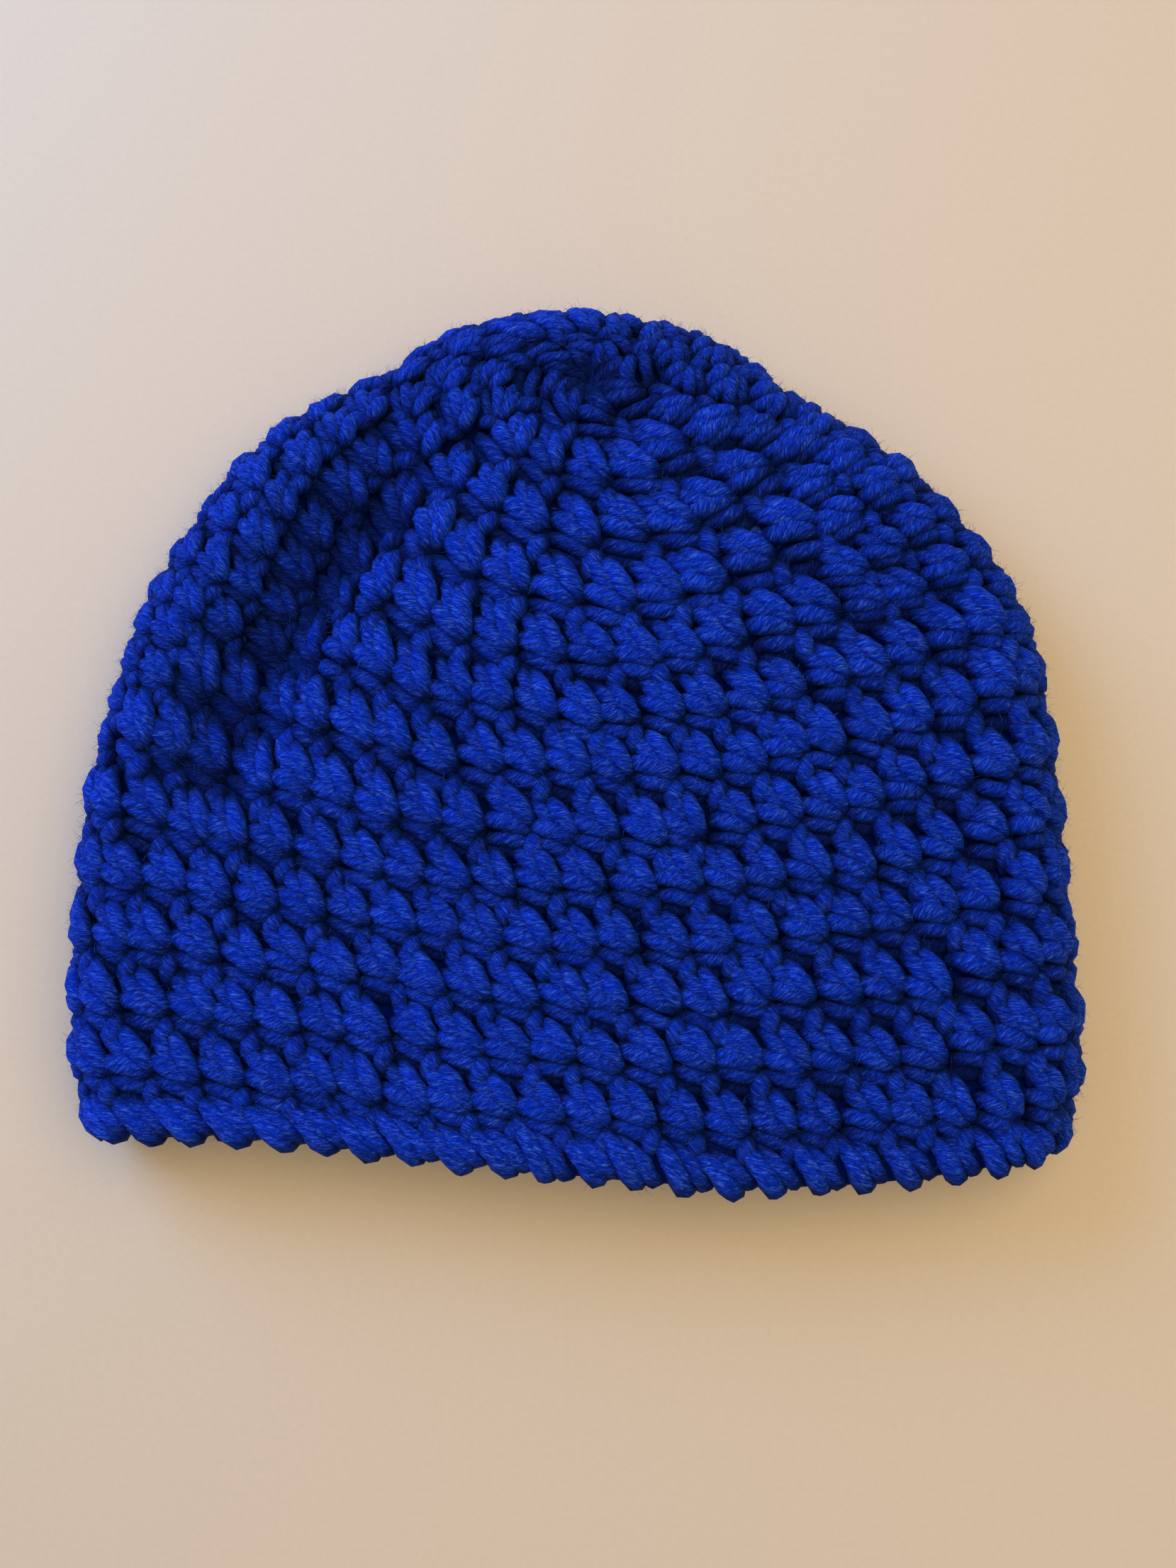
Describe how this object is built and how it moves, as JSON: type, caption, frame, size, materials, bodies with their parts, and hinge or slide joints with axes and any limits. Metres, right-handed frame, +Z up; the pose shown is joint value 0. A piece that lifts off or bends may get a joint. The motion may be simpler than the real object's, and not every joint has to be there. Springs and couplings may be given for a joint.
{
  "type": "crocheted beanie",
  "caption": "Chunky crocheted beanie lying flat and folded along its sides, hollow, open at the mouth, with a rope-like edging.",
  "frame": {"origin": "middle of the laid hat's box, at the height of the surface it lies on", "axes": "+Z up from the surface through both layers, +Y from the mouth to the crown, +X to the right fold"},
  "size_m": [0.2402, 0.2168, 0.0308],
  "materials": {
    "body_yarn": "matt chunky plied yarn, royal blue, slightly fuzzy",
    "edging_yarn": "matt chunky plied yarn, royal blue, slightly fuzzy"
  },
  "bodies": {
    "root": {"crown_and_sides": "body_yarn", "edging": "edging_yarn"}
  },
  "joints": []
}
